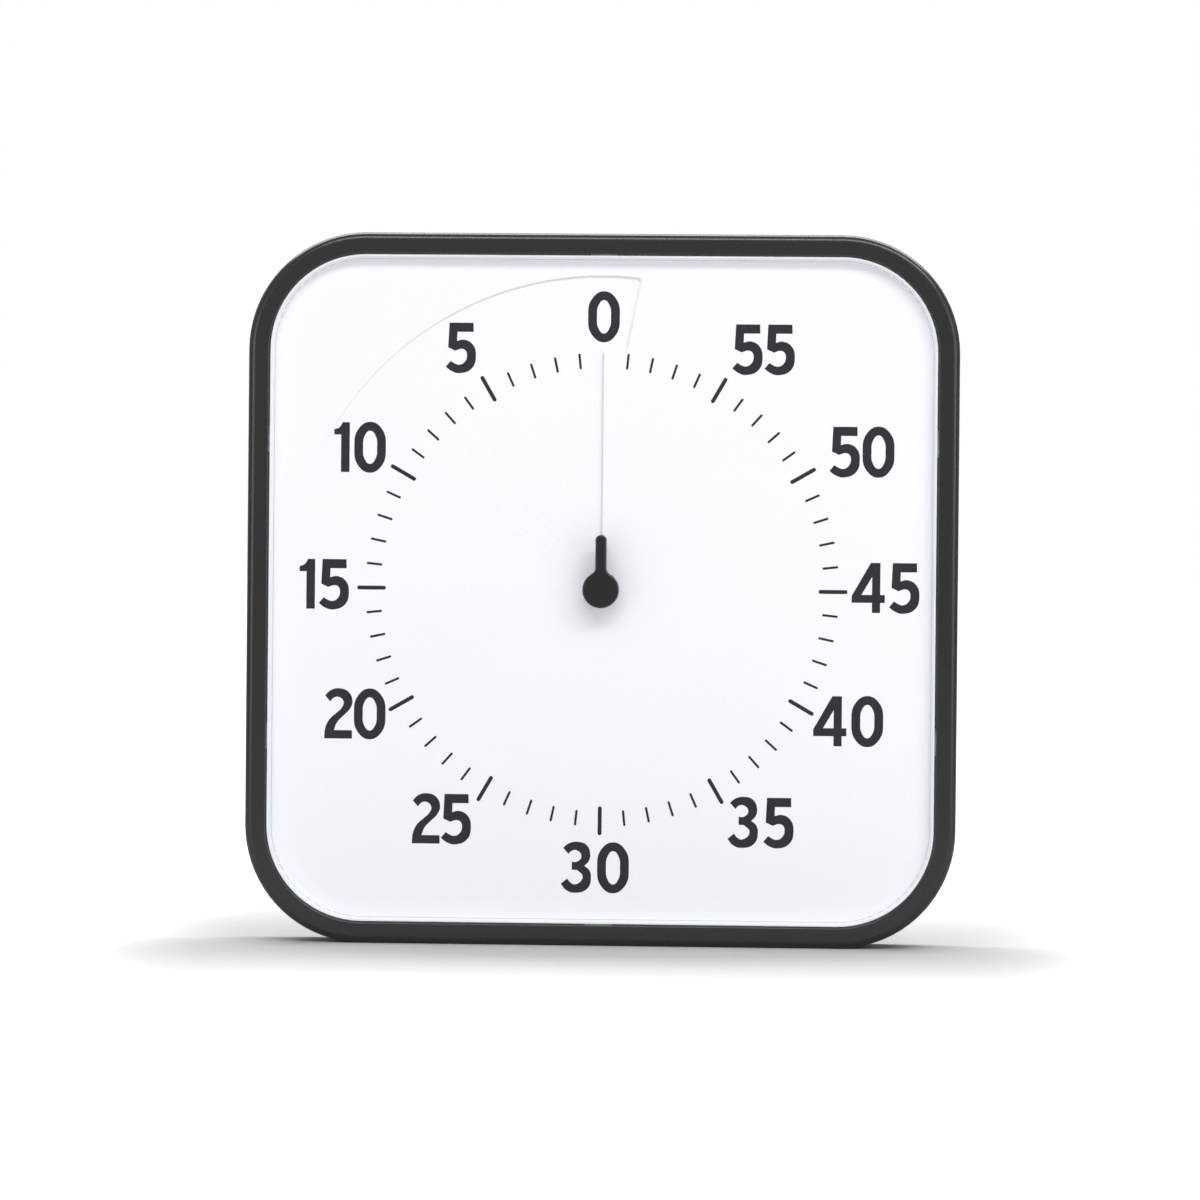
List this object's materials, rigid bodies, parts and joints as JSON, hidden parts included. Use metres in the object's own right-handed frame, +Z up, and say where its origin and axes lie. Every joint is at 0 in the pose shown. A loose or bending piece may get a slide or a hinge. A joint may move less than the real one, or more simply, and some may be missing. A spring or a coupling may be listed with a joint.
{
  "type": "visual countdown timer",
  "caption": "Square visual countdown timer: white dial in a dark rounded frame, pointer knob and a red sheet that winds out of a slit as the knob is turned.",
  "frame": {"origin": "middle of the flat bottom of the case, half way between its front and back", "axes": "+Z up, +X to the viewer's right as the dial is seen from the front, -Y out of the dial"},
  "size_m": [0.3048, 0.0861, 0.3048],
  "materials": {
    "case_plastic": "moulded ABS, charcoal, fine matt texture",
    "dial_plastic": "moulded ABS, cool white, satin",
    "red_sheet": "red plastic sheet, satin",
    "knob_plastic": "moulded, black, satin gloss",
    "steel": "plated",
    "brass": "turned and stamped",
    "movement_plastic": "moulded, dark grey",
    "copper_wire": "enamelled copper winding",
    "board": "green solder mask",
    "cell_jacket": "plain printed jacket",
    "pad_rubber": "matt"
  },
  "bodies": {
    "root": {"front_frame": "case_plastic", "dial_plate": "dial_plastic", "rear_shell": "case_plastic", "arbor_bush": "brass", "movement_base": "movement_plastic", "movement_lid": "movement_plastic", "stator": "steel", "drive_coil": "copper_wire", "circuit_board": "board", "quartz_can": "steel", "driver_chip": "movement_plastic", "switch_block": "movement_plastic", "sounder": "movement_plastic", "battery_cell": "cell_jacket", "contact_plus": "steel", "contact_minus": "steel", "foot_pin_left": "steel", "foot_pin_right": "steel", "case_screws": "steel", "movement_screws": "steel"},
    "setting_shaft": {"pointer_knob": "knob_plastic", "arbor": "steel", "clutch_spring": "steel", "clutch_ring": "steel"},
    "time_sheet": {"time_disk": "red_sheet", "disk_hub": "red_sheet"},
    "centre_wheel_body": {"centre_wheel": "brass"},
    "third_wheel_body": {"third_wheel": "brass"},
    "fourth_wheel_body": {"fourth_wheel": "brass"},
    "rotor_body": {"rotor": "steel"},
    "switch_slider": {"sound_switch": "knob_plastic"},
    "door": {"battery_door": "case_plastic"},
    "foot_left_body": {"foot_left": "case_plastic", "foot_pad_left": "pad_rubber"},
    "foot_right_body": {"foot_right": "case_plastic", "foot_pad_right": "pad_rubber"}
  },
  "joints": [
    {"name": "knob_turn", "type": "hinge", "parent": "root", "child": "setting_shaft", "pos_m": [0, -0.0125, 0.1524], "axis": [0, -1, 0], "range_deg": [0, 360]},
    {"name": "sheet_feed", "type": "slide", "parent": "setting_shaft", "child": "time_sheet", "axis": [0, -1, 0], "range_m": [0, 0.0052]},
    {"name": "centre_wheel_turn", "type": "hinge", "parent": "root", "child": "centre_wheel_body", "pos_m": [0, 0.0006, 0.1524], "axis": [0, -1, 0], "continuous": true},
    {"name": "third_wheel_turn", "type": "hinge", "parent": "root", "child": "third_wheel_body", "pos_m": [-0.01314, 0.002, 0.15592], "axis": [0, -1, 0], "continuous": true},
    {"name": "fourth_wheel_turn", "type": "hinge", "parent": "root", "child": "fourth_wheel_body", "pos_m": [-0.00754, 0.002, 0.16562], "axis": [0, -1, 0], "continuous": true},
    {"name": "rotor_turn", "type": "hinge", "parent": "root", "child": "rotor_body", "pos_m": [0.00261, 0.002, 0.16931], "axis": [0, -1, 0], "continuous": true},
    {"name": "sound_switch_slide", "type": "slide", "parent": "root", "child": "switch_slider", "axis": [1, 0, 0], "range_m": [0, 0.003]},
    {"name": "battery_door_tilt", "type": "hinge", "parent": "root", "child": "door", "pos_m": [0, 0.019, 0.1064], "axis": [1, 0, 0], "range_deg": [0, 90]},
    {"name": "foot_left_fold", "type": "hinge", "parent": "root", "child": "foot_left_body", "pos_m": [-0.092, 0.0115, 0.004], "axis": [0, 0, -1], "range_deg": [0, 90]},
    {"name": "foot_right_fold", "type": "hinge", "parent": "root", "child": "foot_right_body", "pos_m": [0.092, 0.0115, 0.004], "axis": [0, 0, 1], "range_deg": [0, 90]}
  ],
  "couplings": [
    {"joint": "sheet_feed", "follows": "knob_turn", "m_per_rad": 0.00082761},
    {"joint": "third_wheel_turn", "follows": "centre_wheel_turn", "ratio": -7.5},
    {"joint": "fourth_wheel_turn", "follows": "centre_wheel_turn", "ratio": 45},
    {"joint": "rotor_turn", "follows": "centre_wheel_turn", "ratio": -360}
  ]
}
